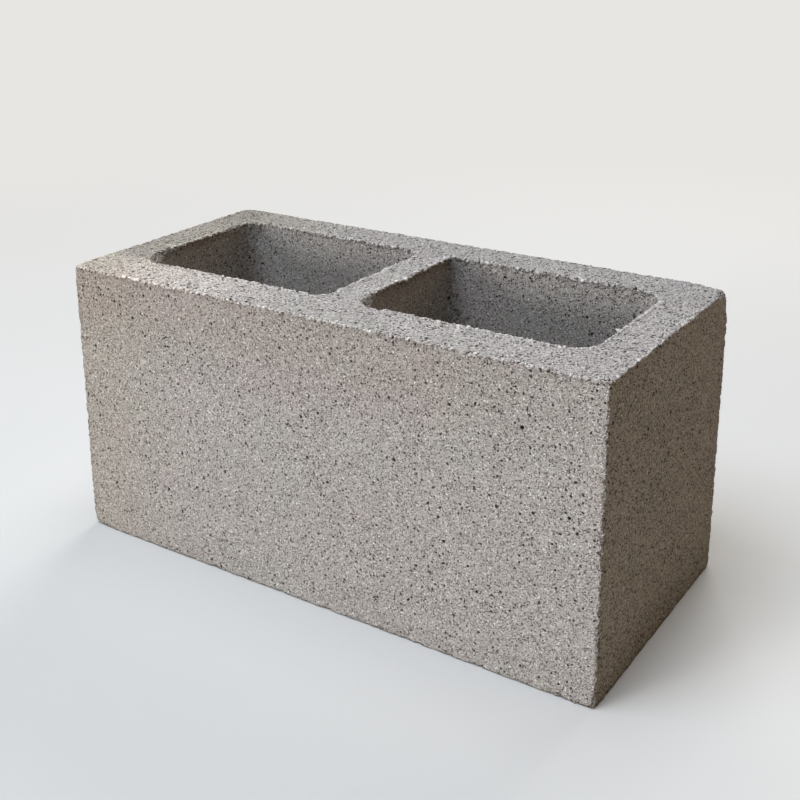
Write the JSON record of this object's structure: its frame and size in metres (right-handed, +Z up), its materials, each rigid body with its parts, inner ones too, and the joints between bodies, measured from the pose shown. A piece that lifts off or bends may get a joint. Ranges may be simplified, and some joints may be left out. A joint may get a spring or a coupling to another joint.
{
  "type": "hollow concrete block",
  "caption": "Rectangular hollow concrete masonry block with straight-through tapered cores and flat ends, standing on its bed face.",
  "frame": {"origin": "middle of the lower bed face, which rests on the floor", "axes": "+Z up through the cores, +X along the block's length, +Y from the face seen in the picture to the face behind it"},
  "size_m": [0.4, 0.19, 0.2],
  "materials": {
    "concrete": "open sandy cast concrete, warm grey with dark pits and pale sand grains"
  },
  "bodies": {
    "root": {"concrete_block": "concrete"}
  },
  "joints": []
}
